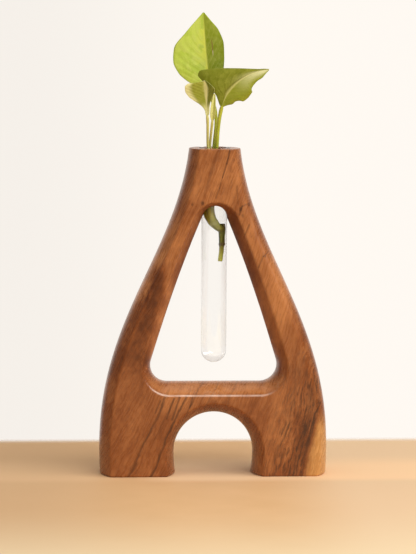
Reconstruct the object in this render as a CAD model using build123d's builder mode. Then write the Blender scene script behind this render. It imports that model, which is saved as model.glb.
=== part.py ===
from build123d import *
import os
from math import asin, cos, degrees, radians, sin
from typing import NamedTuple

os.makedirs("parts", exist_ok=True)

# Lengths are in millimetres and angles in degrees. X runs to the right, the front faces -Y, Z is up
# and the origin is on the table under the middle of the stand.

# Wooden stand: outer shape
stand_depth = 42.0
hip_half_width = 80.6
hip_height = 20.0
hip_pull_share = 0.43
foot_radius = 340.0
collar_half_width = 18.0
collar_lean_angle = 6.5
neck_pull_share = 0.354
side_bulge = 7.2
collar_bulge = 6.2
arris_radius = 1.5
soft_arris_radius = 5.0
collar_edge_radius = 0.6
saw_allowance = 5.0

# Wooden stand: arch between the feet and opening above the crossbar
arch_radius = 28.0
arch_centre_height = 15.7
arch_toe_radius = 95.0
arch_flare = 6.6
arch_crown_flare = 8.0
crossbar_thickness = 21.5
limb_width = 35.8
opening_corner_radius = 12.0
opening_top_radius = 8.4
opening_top_slant_angle = 23.3
opening_corner_slant_angle = 16.7
opening_flare = 6.4
opening_sill_flare = 8.0
opening_top_flare = 3.8
collar_length = 40.9
tube_floor_gap = 13.5

# Glass test tube
tube_radius = 9.0
tube_wall = 1.0
tube_length = 152.0
rim_overhang = 1.8
rim_thickness = 1.7
rim_edge_share = 0.35
rim_seat_depth = 1.0
bore_clearance = 0.3
rim_clearance = 0.4

# Water in the tube
water_gap = 0.1
water_drop = 28.0
stem_clearance = 0.25

# Cut piece of vine with its shoot
vine_bearing_angle = 47.0
vine_wall_gap = 0.6
vine_radius = 1.5
vine_tail_radius = 1.1
vine_tail_drop = 80.6
vine_head_drop = 54.1
vine_node_drop = 58.7
shoot_base_radius = 2.3
shoot_middle_radius = 3.3
shoot_middle_drop = 46.7
shoot_middle_lean = 2.9
crown_margin = 0.2
crown_drop = 24.0
crown_lean = 1.2
stalk_gap = 0.3
stem_shares = (0.0, 0.5, 0.62, 1.0)
shoot_shares = (0.0, 0.25, 0.55, 1.0)
stalk_shares = (0.0, 0.25, 0.5, 0.75, 1.0)

# Leaf blades, sizes that they share
blade_thickness = 0.6
rib_swell = 0.8
station_shares = (0.0, 0.1, 0.2, 0.32, 0.45, 0.6, 0.78, 0.92, 1.0)

# Tallest leaf
tall_stalk_radius = 1.05
tall_stalk_bearing_angle = 62.0
tall_stalk_right_share = 0.02
tall_stalk_back_share = 0.36
tall_leaf_right = -2.0
tall_leaf_back = 9.0
tall_leaf_rise = 35.4
tall_leaf_length = 58.9
tall_leaf_lean_angle = -8.5
tall_leaf_nod_angle = -8.0
tall_leaf_bend_angle = 14.0
tall_leaf_bend_side_angle = 155.0
tall_leaf_left_width = 23.2
tall_leaf_right_width = 18.1
tall_leaf_left_fold_angle = -10.0
tall_leaf_right_fold_angle = 49.0
tall_leaf_left_shares = (0.055, 0.25, 0.6, 0.875, 0.99, 0.935, 0.545, 0.21, 0.02)
tall_leaf_right_shares = (0.07, 0.4, 0.715, 0.88, 0.965, 0.995, 0.785, 0.325, 0.03)

# Leaf that reaches out to the right
side_stalk_radius = 1.1
side_stalk_bearing_angle = 326.0
side_stalk_right_share = 0.2
side_stalk_back_share = -0.12
side_leaf_right = 4.6
side_leaf_back = -4.0
side_leaf_rise = 28.6
side_leaf_length = 45.0
side_leaf_lean_angle = 14.0
side_leaf_nod_angle = 16.0
side_leaf_bend_angle = 72.0
side_leaf_bend_side_angle = 90.0
side_leaf_left_width = 25.0
side_leaf_right_width = 13.7
side_leaf_left_fold_angle = -8.0
side_leaf_right_fold_angle = 15.0
side_leaf_left_shares = (0.06, 0.25, 0.84, 0.88, 0.55, 0.29, 0.11, 0.05, 0.02)
side_leaf_right_shares = (0.09, 0.26, 0.56, 0.93, 1.0, 0.84, 0.48, 0.22, 0.03)

# Young leaf at the left
young_stalk_radius = 0.95
young_stalk_bearing_angle = 217.0
young_stalk_right_share = -0.6
young_stalk_back_share = -0.28
young_leaf_right = -6.0
young_leaf_back = -8.0
young_leaf_rise = 22.6
young_leaf_length = 25.0
young_leaf_lean_angle = -5.5
young_leaf_nod_angle = 4.0
young_leaf_bend_angle = 22.0
young_leaf_bend_side_angle = 180.0
young_leaf_left_width = 14.4
young_leaf_right_width = 7.6
young_leaf_left_fold_angle = 8.0
young_leaf_right_fold_angle = 32.0
young_leaf_left_shares = (0.08, 0.09, 0.16, 0.33, 0.6, 0.86, 1.0, 0.9, 0.5)
young_leaf_right_shares = (0.2, 0.28, 0.31, 0.39, 0.56, 0.82, 0.98, 0.58, 0.13)

# Rolled leaf beside it
furled_stalk_radius = 0.9
furled_stalk_bearing_angle = 139.0
furled_stalk_right_share = -0.4
furled_stalk_back_share = 0.1
furled_leaf_right = -2.2
furled_leaf_back = -6.3
furled_leaf_rise = 18.8
furled_leaf_length = 18.6
furled_leaf_lean_angle = 4.0
furled_leaf_nod_angle = 7.0
furled_leaf_bend_angle = 10.0
furled_leaf_bend_side_angle = 0.0
furled_leaf_left_width = 2.9
furled_leaf_right_width = 2.3
furled_leaf_left_fold_angle = 40.0
furled_leaf_right_fold_angle = 48.0
furled_leaf_left_shares = (0.4, 0.75, 0.95, 1.0, 0.95, 0.85, 0.6, 0.42, 0.3)
furled_leaf_right_shares = (0.4, 0.9, 1.0, 0.85, 0.8, 0.85, 0.7, 0.45, 0.3)

# Places that follow from the sizes above
arch_top_height = arch_centre_height + arch_radius
opening_bottom_height = arch_top_height + crossbar_thickness
tube_bottom_height = opening_bottom_height + tube_floor_gap
rim_top_height = tube_bottom_height + tube_length
rim_seat_height = rim_top_height - rim_thickness
stand_height = rim_seat_height + rim_seat_depth
opening_top_height = stand_height - collar_length
opening_half_width = hip_half_width - limb_width
bore_radius = tube_radius + bore_clearance
rim_radius = tube_radius + rim_overhang
tube_inner_radius = tube_radius - tube_wall
tube_dome_height = tube_bottom_height + tube_radius
water_radius = tube_inner_radius - water_gap
water_level = rim_top_height - water_drop
vine_reach = tube_inner_radius - vine_wall_gap - vine_radius
vine_right = vine_reach * cos(radians(vine_bearing_angle))
vine_back = vine_reach * sin(radians(vine_bearing_angle))
vine_tail_height = rim_top_height - vine_tail_drop
vine_head_height = rim_top_height - vine_head_drop
vine_node_height = rim_top_height - vine_node_drop
shoot_middle_height = rim_top_height - shoot_middle_drop
crown_height = rim_top_height - crown_drop
front_plane = Plane.XZ.offset(stand_depth / 2)
back_plane = Plane.XZ.offset(-stand_depth / 2)


class Leaf(NamedTuple):
    """One leaf: where its stalk stands and passes the rim, where the blade starts and how it grows."""

    stalk_radius: float
    stalk_bearing: float
    stalk_shares: tuple
    start: Vector
    length: float
    lean: float
    nod: float
    bend: float
    bend_side: float
    widths: tuple
    folds: tuple
    width_shares: tuple

    def frame(self, share):
        """Plane square to the midrib at a share of its length, with X toward the blade's right half."""
        right = Vector(1, 0, 0).rotate(Axis.X, self.nod).rotate(Axis.Y, self.lean)
        ahead = Vector(0, 0, 1).rotate(Axis.X, self.nod).rotate(Axis.Y, self.lean)
        back = ahead.cross(right)
        side = radians(self.bend_side)
        toward = back * cos(side) + right * sin(side)
        hinge = Axis((0, 0, 0), ahead.cross(toward))
        angle = radians(self.bend)
        radius = self.length / angle
        along = ahead * (radius * sin(angle * share))
        off = toward * (radius * (1 - cos(angle * share)))
        right_here = right.rotate(hinge, self.bend * share)
        ahead_here = ahead.rotate(hinge, self.bend * share)
        return Plane(self.start + along + off, x_dir=right_here, z_dir=ahead_here)


tall = Leaf(
    stalk_radius=tall_stalk_radius,
    stalk_bearing=tall_stalk_bearing_angle,
    stalk_shares=(tall_stalk_right_share, tall_stalk_back_share),
    start=Vector(tall_leaf_right, tall_leaf_back, rim_top_height + tall_leaf_rise),
    length=tall_leaf_length,
    lean=tall_leaf_lean_angle,
    nod=tall_leaf_nod_angle,
    bend=tall_leaf_bend_angle,
    bend_side=tall_leaf_bend_side_angle,
    widths=(tall_leaf_left_width, tall_leaf_right_width),
    folds=(tall_leaf_left_fold_angle, tall_leaf_right_fold_angle),
    width_shares=(tall_leaf_left_shares, tall_leaf_right_shares),
)
side = Leaf(
    stalk_radius=side_stalk_radius,
    stalk_bearing=side_stalk_bearing_angle,
    stalk_shares=(side_stalk_right_share, side_stalk_back_share),
    start=Vector(side_leaf_right, side_leaf_back, rim_top_height + side_leaf_rise),
    length=side_leaf_length,
    lean=side_leaf_lean_angle,
    nod=side_leaf_nod_angle,
    bend=side_leaf_bend_angle,
    bend_side=side_leaf_bend_side_angle,
    widths=(side_leaf_left_width, side_leaf_right_width),
    folds=(side_leaf_left_fold_angle, side_leaf_right_fold_angle),
    width_shares=(side_leaf_left_shares, side_leaf_right_shares),
)
young = Leaf(
    stalk_radius=young_stalk_radius,
    stalk_bearing=young_stalk_bearing_angle,
    stalk_shares=(young_stalk_right_share, young_stalk_back_share),
    start=Vector(young_leaf_right, young_leaf_back, rim_top_height + young_leaf_rise),
    length=young_leaf_length,
    lean=young_leaf_lean_angle,
    nod=young_leaf_nod_angle,
    bend=young_leaf_bend_angle,
    bend_side=young_leaf_bend_side_angle,
    widths=(young_leaf_left_width, young_leaf_right_width),
    folds=(young_leaf_left_fold_angle, young_leaf_right_fold_angle),
    width_shares=(young_leaf_left_shares, young_leaf_right_shares),
)
furled = Leaf(
    stalk_radius=furled_stalk_radius,
    stalk_bearing=furled_stalk_bearing_angle,
    stalk_shares=(furled_stalk_right_share, furled_stalk_back_share),
    start=Vector(furled_leaf_right, furled_leaf_back, rim_top_height + furled_leaf_rise),
    length=furled_leaf_length,
    lean=furled_leaf_lean_angle,
    nod=furled_leaf_nod_angle,
    bend=furled_leaf_bend_angle,
    bend_side=furled_leaf_bend_side_angle,
    widths=(furled_leaf_left_width, furled_leaf_right_width),
    folds=(furled_leaf_left_fold_angle, furled_leaf_right_fold_angle),
    width_shares=(furled_leaf_left_shares, furled_leaf_right_shares),
)


leaves = (tall, furled, young, side)

# The stalks stand in a ring on the crown, just wide enough to keep them apart
stalk_ring_radius = max(
    (one.stalk_radius + two.stalk_radius + stalk_gap)
    / (2 * abs(sin(radians(two.stalk_bearing - one.stalk_bearing) / 2)))
    for one, two in zip(leaves, leaves[1:] + leaves[:1])
)
crown_radius = stalk_ring_radius + max(leaf.stalk_radius for leaf in leaves) + crown_margin


def slab_outline(plane, inset, collar_inset):
    """Outer outline of the slab on one plane, drawn past the base and the top for sawing off square."""
    hip_right = hip_half_width - inset
    top_right = collar_half_width - collar_inset
    rise = stand_height - hip_height
    lean = radians(collar_lean_angle)
    neck_pull = rise * neck_pull_share
    foot_turn = degrees(asin((hip_height + saw_allowance) / foot_radius))
    with BuildSketch(plane) as outline:
        with BuildLine():
            foot = JernArc((hip_right, hip_height), (0, -1), foot_radius, -foot_turn)
            flank = Bezier(
                (hip_right, hip_height),
                (hip_right, hip_height + rise * hip_pull_share),
                (top_right + neck_pull * sin(lean), stand_height - neck_pull * cos(lean)),
                (top_right, stand_height),
            )
            above = (flank @ 1) + Vector(-sin(lean), cos(lean)) * saw_allowance
            Line(flank @ 1, above)
            mirror(about=Plane.YZ)
            Line(above, (-above.X, above.Y))
            Line(foot @ 1, (-(foot @ 1).X, (foot @ 1).Y))
        make_face()
    return outline.sketch


def opening_outline(plane, flare, sill_flare, top_flare):
    """Outline of the triangular opening: round top, slightly bowed sides, round corners, level bottom."""
    slant = radians(opening_top_slant_angle)
    corner_slant = radians(opening_corner_slant_angle)
    spread = (flare - top_flare * sin(slant)) / (1 - sin(slant))
    top_radius = opening_top_radius + spread
    top_centre = Vector(0, opening_top_height + top_flare - top_radius)
    corner_radius = opening_corner_radius + sill_flare
    corner_centre = Vector(
        opening_half_width + flare - corner_radius, opening_bottom_height - sill_flare + corner_radius
    )
    top_normal = Vector(cos(slant), sin(slant))
    corner_normal = Vector(cos(corner_slant), sin(corner_slant))
    top_end = top_centre + top_normal * top_radius
    side_end = corner_centre + corner_normal * corner_radius
    with BuildSketch(plane) as outline:
        with BuildLine():
            RadiusArc(top_end, (-top_end.X, top_end.Y), -top_radius)
            Spline(
                top_end,
                side_end,
                tangents=((sin(slant), -cos(slant)), (sin(corner_slant), -cos(corner_slant))),
            )
            corner = JernArc(
                side_end,
                (sin(corner_slant), -cos(corner_slant)),
                corner_radius,
                -(90 + opening_corner_slant_angle),
            )
            mirror(about=Plane.YZ)
            Line(corner @ 1, (-(corner @ 1).X, (corner @ 1).Y))
        make_face()
    return outline.sketch


def arch_outline(plane, flare, crown_flare):
    """Outline of the arch between the feet, with toes that draw in a little and run past the base."""
    radius = arch_radius + flare
    centre_height = arch_centre_height + crown_flare - flare
    toe_turn = degrees(asin((centre_height + saw_allowance) / arch_toe_radius))
    with BuildSketch(plane) as outline:
        with BuildLine():
            CenterArc((0, centre_height), radius, 0, 180)
            toe = JernArc((radius, centre_height), (0, -1), arch_toe_radius, -toe_turn)
            JernArc((-radius, centre_height), (0, -1), arch_toe_radius, toe_turn)
            Line(toe @ 1, (-(toe @ 1).X, (toe @ 1).Y))
        make_face()
    return outline.sketch


def round_sections(route, shares, radii):
    """Sections of a stem of changing thickness: circles square to a route, at shares of its length."""
    sections = []
    for share, radius in zip(shares, radii):
        with BuildSketch(Plane(route @ share, x_dir=(1, 0, 0), z_dir=route % share)) as section:
            Circle(radius)
        sections.append(section.sketch)
    return sections


def stem_sections(skin):
    """Sections of the cut stem, thinner below the node, with a skin added all over."""
    tail = Vector(vine_right, vine_back, vine_tail_height - skin)
    head = Vector(vine_right, vine_back, vine_head_height + skin)
    with BuildLine() as route:
        Line(tail, head)
    thin = vine_tail_radius + skin
    thick = vine_radius + skin
    return round_sections(route.line, stem_shares, (thin, thin, thick, thick))


def shoot_sections(skin):
    """Sections of the shoot from the node up to its level crown, with a skin added at its sides."""
    node = Vector(vine_right, vine_back, vine_node_height)
    middle = Vector(-shoot_middle_lean, 0, shoot_middle_height)
    crown = Vector(-crown_lean, 0, crown_height)
    with BuildLine() as route:
        Spline(node, middle, crown, tangents=((-1, -1, 1), (0, 0, 1)))
    base = shoot_base_radius + skin
    radii = (base, base, shoot_middle_radius + skin, crown_radius + skin)
    return round_sections(route.line, shoot_shares, radii)


def stalk_sections(leaf):
    """Sections of a round stalk from the crown, past the rim of the tube, to the foot of the blade."""
    bearing = radians(leaf.stalk_bearing)
    seat = Vector(
        stalk_ring_radius * cos(bearing) - crown_lean, stalk_ring_radius * sin(bearing), crown_height
    )
    right_share, back_share = leaf.stalk_shares
    mouth = Vector(tube_inner_radius * right_share, tube_inner_radius * back_share, rim_top_height)
    with BuildLine() as route:
        Spline(seat, mouth, leaf.start, tangents=((0, 0, 1), leaf.frame(0).z_dir))
    return round_sections(route.line, stalk_shares, (leaf.stalk_radius,) * len(stalk_shares))


def blade_sections(leaf):
    """Sections of a blade: two flat halves folded along the midrib, thick at the rib, thin at the margin."""
    left_fold, right_fold = (radians(fold) for fold in leaf.folds)
    left_along = Vector(-cos(left_fold), -sin(left_fold))
    right_along = Vector(cos(right_fold), -sin(right_fold))
    left_skin = Vector(-sin(left_fold), cos(left_fold)) * (blade_thickness / 2)
    right_skin = Vector(sin(right_fold), cos(right_fold)) * (blade_thickness / 2)
    sections = []
    for share, left_share, right_share in zip(station_shares, *leaf.width_shares):
        left_edge = left_along * (leaf.widths[0] * left_share)
        right_edge = right_along * (leaf.widths[1] * right_share)
        rib = Vector(0, blade_thickness + rib_swell * min(left_share, right_share)) / 2
        with BuildSketch(leaf.frame(share)) as section:
            with BuildLine():
                Polyline(
                    left_edge - left_skin,
                    -rib,
                    right_edge - right_skin,
                    right_edge + right_skin,
                    rib,
                    left_edge + left_skin,
                    close=True,
                )
            make_face()
        sections.append(section.sketch)
    return sections


# Stand: one slab with barrel sides, cut through by the opening, the arch and the bore for the tube
with BuildPart() as stand:
    loft(
        [
            slab_outline(front_plane, side_bulge, collar_bulge),
            slab_outline(Plane.XZ, 0, 0),
            slab_outline(back_plane, side_bulge, collar_bulge),
        ]
    )
    split(bisect_by=Plane.XY, keep=Keep.TOP)
    split(bisect_by=Plane.XY.offset(stand_height), keep=Keep.BOTTOM)
    loft(
        [
            opening_outline(front_plane, opening_flare, opening_sill_flare, opening_top_flare),
            opening_outline(Plane.XZ, 0, 0, 0),
            opening_outline(back_plane, opening_flare, opening_sill_flare, opening_top_flare),
        ],
        mode=Mode.SUBTRACT,
    )
    loft(
        [
            arch_outline(front_plane, arch_flare, arch_crown_flare),
            arch_outline(Plane.XZ, 0, 0),
            arch_outline(back_plane, arch_flare, arch_crown_flare),
        ],
        mode=Mode.SUBTRACT,
    )
    broad_faces = stand.faces().filter_by(Axis.Y)
    right_side = stand.faces().filter_by(GeomType.PLANE, reverse=True).sort_by(Axis.X)[-2:]
    ends = stand.faces().filter_by(Axis.Z)
    crisp_edges = broad_faces.edges() - right_side.edges() - ends.edges()
    fillet(broad_faces.edges() & right_side.edges(), soft_arris_radius)
    soles = stand.faces().filter_by(Axis.Z).group_by(Axis.Z)[0]
    fillet(crisp_edges + soles.edges(), arris_radius)
    fillet(stand.faces().sort_by(Axis.Z)[-1].edges(), collar_edge_radius)
    with Locations((0, 0, stand_height)):
        CounterBoreHole(
            bore_radius, rim_radius + rim_clearance, rim_seat_depth, collar_length + 2 * opening_top_radius
        )
stand.part.label = "stand"
export_step(stand.part, "parts/stand.step")

# Test tube: round bottom, even wall and a rounded rim that rests in the counterbore
with BuildPart() as test_tube:
    with BuildSketch(Plane.XZ):
        with BuildLine():
            Line((0, tube_bottom_height), (0, tube_bottom_height + tube_wall))
            CenterArc((0, tube_dome_height), tube_inner_radius, -90, 90)
            Polyline(
                (tube_inner_radius, tube_dome_height),
                (tube_inner_radius, rim_top_height),
                (rim_radius, rim_top_height),
                (rim_radius, rim_seat_height),
                (tube_radius, rim_seat_height),
                (tube_radius, tube_dome_height),
            )
            CenterArc((0, tube_dome_height), tube_radius, -90, 90)
        make_face()
    revolve(axis=Axis.Z)
    widest_circles = test_tube.edges().filter_by(GeomType.CIRCLE).group_by(SortBy.RADIUS)[-1]
    fillet(widest_circles, rim_thickness * rim_edge_share)
test_tube.part.label = "test_tube"
export_step(test_tube.part, "parts/test_tube.step")

# Water: fills the tube up into the collar, around the vine
with BuildPart() as water:
    with BuildSketch(Plane.XZ):
        with BuildLine():
            CenterArc((0, tube_dome_height), water_radius, -90, 90)
            Polyline(
                (water_radius, tube_dome_height),
                (water_radius, water_level),
                (0, water_level),
                (0, tube_dome_height - water_radius),
            )
        make_face()
    revolve(axis=Axis.Z)
    loft(stem_sections(stem_clearance), mode=Mode.SUBTRACT)
    loft(shoot_sections(stem_clearance), mode=Mode.SUBTRACT)
water.part.label = "water"
export_step(water.part, "parts/water.step")

# Vine: the cut stem and its shoot
with BuildPart() as vine:
    loft(stem_sections(0))
    loft(shoot_sections(0))
vine.part.label = "vine"
export_step(vine.part, "parts/vine.step")

# Tallest leaf and its stalk
with BuildPart() as tall_stalk:
    loft(stalk_sections(tall))
tall_stalk.part.label = "tall_stalk"
export_step(tall_stalk.part, "parts/tall_stalk.step")

with BuildPart() as tall_leaf:
    loft(blade_sections(tall))
tall_leaf.part.label = "tall_leaf"
export_step(tall_leaf.part, "parts/tall_leaf.step")

# Leaf at the right and its stalk
with BuildPart() as side_stalk:
    loft(stalk_sections(side))
side_stalk.part.label = "side_stalk"
export_step(side_stalk.part, "parts/side_stalk.step")

with BuildPart() as side_leaf:
    loft(blade_sections(side))
side_leaf.part.label = "side_leaf"
export_step(side_leaf.part, "parts/side_leaf.step")

# Young leaf and its stalk
with BuildPart() as young_stalk:
    loft(stalk_sections(young))
young_stalk.part.label = "young_stalk"
export_step(young_stalk.part, "parts/young_stalk.step")

with BuildPart() as young_leaf:
    loft(blade_sections(young))
young_leaf.part.label = "young_leaf"
export_step(young_leaf.part, "parts/young_leaf.step")

# Rolled leaf and its stalk
with BuildPart() as furled_stalk:
    loft(stalk_sections(furled))
furled_stalk.part.label = "furled_stalk"
export_step(furled_stalk.part, "parts/furled_stalk.step")

with BuildPart() as furled_leaf:
    loft(blade_sections(furled))
furled_leaf.part.label = "furled_leaf"
export_step(furled_leaf.part, "parts/furled_leaf.step")
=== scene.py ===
import math
from types import SimpleNamespace

import bpy
import numpy as np
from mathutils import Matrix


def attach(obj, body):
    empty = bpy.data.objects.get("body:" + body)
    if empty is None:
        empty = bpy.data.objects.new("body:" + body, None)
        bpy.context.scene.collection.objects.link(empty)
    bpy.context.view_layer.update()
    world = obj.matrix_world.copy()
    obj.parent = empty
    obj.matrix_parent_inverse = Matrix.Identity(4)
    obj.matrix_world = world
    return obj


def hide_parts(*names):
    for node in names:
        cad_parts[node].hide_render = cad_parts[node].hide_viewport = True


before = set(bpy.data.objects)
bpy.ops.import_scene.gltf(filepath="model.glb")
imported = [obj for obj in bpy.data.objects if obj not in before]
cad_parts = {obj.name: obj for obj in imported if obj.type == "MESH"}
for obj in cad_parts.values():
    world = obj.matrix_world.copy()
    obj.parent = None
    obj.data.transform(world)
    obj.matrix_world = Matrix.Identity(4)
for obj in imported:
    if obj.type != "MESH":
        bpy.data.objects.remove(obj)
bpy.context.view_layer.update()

# Lengths are in millimetres until a mesh is made, and angles in degrees. Lamps and the camera stand in
# metres. X runs to the right, the front faces -Y and Z is up.
to_metres = 0.001

# Glass test tube
tube_radius = 9.0
tube_inner_radius = 8.0
tube_bottom = 78.7
dome_height = tube_bottom + tube_radius
dome_end = -89.5
wall_foot = 100.0
rim_seat = 229.0
rim_top = 230.7
rim_radius = 10.8
rim_lift = 0.1
under_rim_fillet, under_rim_drop, under_rim_clear = 0.75, 0.55, 1.2
mouth_fillet, mouth_drop, mouth_depth = 0.9, 1.05, 2.0
glass_tint, glass_bend, glass_smear = (0.997, 0.998, 0.997), 1.47, 0.02

# Water in the tube
water_level = 202.7
water_wall_gap = 1.0
water_middle_share = 0.003
meniscus_rise = 1.3
water_overlap = 0.12
water_tint, water_bend, water_smear = (0.996, 0.998, 0.998), 1.333, 0.0

# Steps round a turned piece, along a dome, along a straight wall and across the water
around_steps, dome_steps, wall_steps, water_wall_steps, surface_steps = 96, 30, 8, 6, 24

# Cut piece of vine: radii and swellings, and how long the changes between them are
vine_right, vine_back = 3.785, 4.059
vine_tail, vine_scar, vine_node, vine_head = 150.1, 162.0, 172.0, 176.6
vine_thin, vine_thicker, scar_swell, node_swell = 0.98, 0.24, 0.26, 0.24
thicker_length, scar_length, node_length = 0.7, 0.9, 3.2
vine_wobble, vine_wobble_turn, vine_tail_lean = 0.15, 5.2, 0.9
vine_end_round, vine_end_share = 0.12, 0.008

# Shoot of the vine: where it passes, its radius at shares of its length, and the ring near its base
shoot_middle = (-2.9, 0.0, 184.0)
crown_lean, crown_height, crown_radius = 1.2, 206.7, 3.11
shoot_radii = ((0, 0.12, 0.25, 0.4, 0.6, 0.8, 1.0), (1.8, 2.25, 2.75, 3.25, 3.35, 3.2, crown_radius))
shoot_ring_share, shoot_ring_reach, shoot_ring_swell = 0.2, 0.03, 0.18
shoot_end_round, shoot_end_share = 0.5, 0.012
stem_rows = 120

# Stalks of the leaves
stalk_ring_radius = 1.81
stalk_sink = 1.2
stalk_waist = 0.98
stalk_collar_share, stalk_collar_reach, stalk_collar_swell = 0.93, 0.05, 0.1
stalk_waver, stalk_waver_turn = 0.02, 17
stalk_end_round, stalk_end_share = 0.25, 0.01
stalk_rows = 110

# Leaf blades: thickness, side veins, whose steps are counted from above zero, grain, and the midrib
blade_half_thickness = 0.24
margin_half_thickness = 0.02
vein_slant, vein_count, vein_hollow = 0.36, 10.0, 0.11
vein_sway, fine_veins, fine_shift, steps_above_zero = 0.035, 3.0, 0.3, 40.0
grain_greys = ((0.3, (0.3, 0.3, 0.3)), (0.7, (0.75, 0.75, 0.75)))
rib_softness = 0.02
rib_reach, rib_fade, rib_front_share, rib_back_share = 0.8, 1.4, 0.3, 0.85
blade_sharp = 60
stations = (0.0, 0.1, 0.2, 0.32, 0.45, 0.6, 0.78, 0.92, 1.0)

# Leaves. The mouth is in shares of the tube's inner radius, and knee and start count up from the rim. Widths
# and folds are those of the left and right half; left and right hold stations along the midrib and shares of
# the width there. Bow is how far a half swells toward the viewer, ripple how far the margin waves, and waves
# how many there are.
tall = SimpleNamespace(
    stalk_radius=1.15, bearing=62, mouth=(-0.05, 0.36), knee=(0.2, 7.4, 27.5), start=(-2.0, 9.0, 35.4),
    length=58.9, lean=-8.5, nod=-8, bend=14, bend_side=155, widths=(24.0, 18.4), folds=(-10, 49),
    left=(stations, (0.055, 0.25, 0.6, 0.875, 0.99, 0.935, 0.545, 0.21, 0.02)),
    right=(stations, (0.07, 0.4, 0.715, 0.88, 0.965, 0.995, 0.785, 0.325, 0.03)),
    bow=0.9, ripple=0.5, waves=2.5,
)
side = SimpleNamespace(
    stalk_radius=1.25, bearing=326, mouth=(0.18, -0.12), knee=None, start=(4.6, -4.0, 28.6),
    length=45.0, lean=14, nod=16, bend=72, bend_side=90, widths=(25.2, 13.7), folds=(-8, 15),
    left=(
        (0, 0.04, 0.08, 0.12, 0.15, 0.18, 0.2, 0.22, 0.26, 0.32,
         0.38, 0.45, 0.52, 0.6, 0.69, 0.78, 0.86, 0.92, 1.0),
        (0.06, 0.12, 0.18, 0.26, 0.39, 0.62, 0.81, 0.96, 0.995, 0.86,
         0.702, 0.544, 0.41, 0.29, 0.181, 0.102, 0.056, 0.042, 0.02),
    ),
    right=(
        (0, 0.052, 0.099, 0.136, 0.171, 0.212, 0.252, 0.268, 0.324, 0.419, 0.504, 0.561,
         0.58, 0.592, 0.612, 0.647, 0.709, 0.771, 0.863, 0.932, 1.0),
        (0.09, 0.28, 0.466, 0.518, 0.546, 0.638, 0.78, 0.874, 0.937, 0.959, 0.915, 0.871,
         0.85, 0.74, 0.68, 0.62, 0.54, 0.46, 0.38, 0.22, 0.03),
    ),
    bow=1.0, ripple=0.35, waves=3.0,
)
young = SimpleNamespace(
    stalk_radius=0.95, bearing=217, mouth=(-0.62, -0.28), knee=None, start=(-6.0, -8.0, 22.6),
    length=25.0, lean=-5.5, nod=4, bend=22, bend_side=180, widths=(14.4, 7.6), folds=(8, 32),
    left=(stations, (0.08, 0.09, 0.16, 0.33, 0.6, 0.86, 1.0, 1.0, 0.84)),
    right=(stations, (0.2, 0.28, 0.31, 0.39, 0.56, 0.82, 0.98, 0.58, 0.13)),
    bow=0.8, ripple=0.3, waves=2.0,
)
furled = SimpleNamespace(
    stalk_radius=0.9, bearing=139, mouth=(-0.41, 0.1), knee=None, start=(-2.2, -6.3, 18.8),
    length=18.6, lean=4, nod=7, bend=10, bend_side=0, widths=(2.9, 2.3), folds=(40, 48),
    left=(stations, (0.4, 0.75, 0.92, 1.0, 1.0, 0.9, 0.62, 0.42, 0.3)),
    right=(stations, (0.4, 0.85, 1.0, 0.95, 0.9, 0.8, 0.65, 0.45, 0.3)),
    bow=0.2, ripple=0.1, waves=2.0,
)

# Light: how bright the room is to plain rays and to gloss, where gloss shows the wall behind, and how much
# painted shade darkens the wall at the left, seen by the camera only
room_light, gloss_light = 0.3, 0.1
room_tint, lamp_tint = (1.0, 0.95, 0.89), (1.0, 0.97, 0.93)
wall_behind = (0.76, 0.95)
backdrop_shade_left, backdrop_shade_share = (0.09, -0.01), 0.08

# Lamps: name, place, width, height and power
lamps = (
    ("window_lamp", (0.97, -1.08, 1.17), 2.6, 0.6, 32.5),
    ("ceiling_lamp", (0.1, -0.1, 1.75), 2.4, 2.4, 12.5),
    ("left_lamp", (-1.05, -0.15, 1.2), 1.6, 1.6, 3.2),
)
lamp_target = (0, 0, 0.13)

# Camera
view_target = (-0.0042, 0.0, 0.13905)
view_azimuth, view_elevation, view_roll = -4.0, 5.39, 0.35
view_distance = 1.808
lens_length, sensor_width = 166.74, 36.0

# Floor: its half width in metres, its colours, and where each one starts and is full. The left colour is
# painted shade and the right colour painted light, as light falls from the right, and the stripe colour is
# painted light that lifts the object's shadow under it
floor_reach = 0.8
floor_cells = (40, 40, 40)
floor_brown, floor_tan = (0.7, 0.425, 0.208), (0.77, 0.485, 0.25)
floor_left, left_painted_shade, left_share = (-20, -140), (0.6, 0.38, 0.2), 0.8
floor_right, right_painted_light = (20, 100), (0.8, 0.56, 0.34)
stripe_back, stripe_front, stripe_right = (75, 20), (-46, -24), (-60, -30)
stripe_painted_light, stripe_left_share = (0.92, 0.62, 0.36), 0.2
floor_front, front_colour = (-120, -420), (0.86, 0.71, 0.46)
floor_end = (132, 156)

# Wood: the grain lines lean to the right as they rise and fan out toward the left foot
grain_fan, grain_turn, grain_slant = 160.4, 2.27, 0.175
front_face = -21.0
sapwood_edge = -97.0
sill_height, sill_edge = 62.0, 58.5

# Noise in the wood: sizes of the cells across the grain or to the right, in depth and up
sway_cells, fret_cells, band_cells = (26, 40, 34), (4, 14, 7), (7, 60, 70)
fibre_cells, fleck_cells, ray_cells = (1.3, 6, 11), (0.7, 2.2, 4.2), (1.5, 2.6, 10)
cloud_cells, mottle_cells = (13, 18, 15), (3.2, 4.5, 4.2)
sway_reach, fret_reach = 9, 3.2
band_share, fibre_share, cloud_share, mottle_share = 0.5, 0.42, 0.45, 0.4

# Browns of the wood by tone, from dark to light, and the colours laid over them, the last of them a painted
# highlight on the sill's front edge
wood_browns = (
    (0.05, (0.11, 0.029, 0.0065)),
    (0.2, (0.15, 0.041, 0.009)),
    (0.35, (0.2, 0.057, 0.013)),
    (0.5, (0.265, 0.08, 0.0195)),
    (0.65, (0.36, 0.126, 0.037)),
    (0.8, (0.47, 0.176, 0.054)),
    (0.95, (0.565, 0.228, 0.077)),
)
sap_deep, sap_pale = (0.49, 0.22, 0.06), (0.62, 0.31, 0.098)
streak_brown, pore_brown, sill_painted_highlight = (0.062, 0.022, 0.009), (0.075, 0.024, 0.009), (0.95, 0.75, 0.64)

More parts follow.
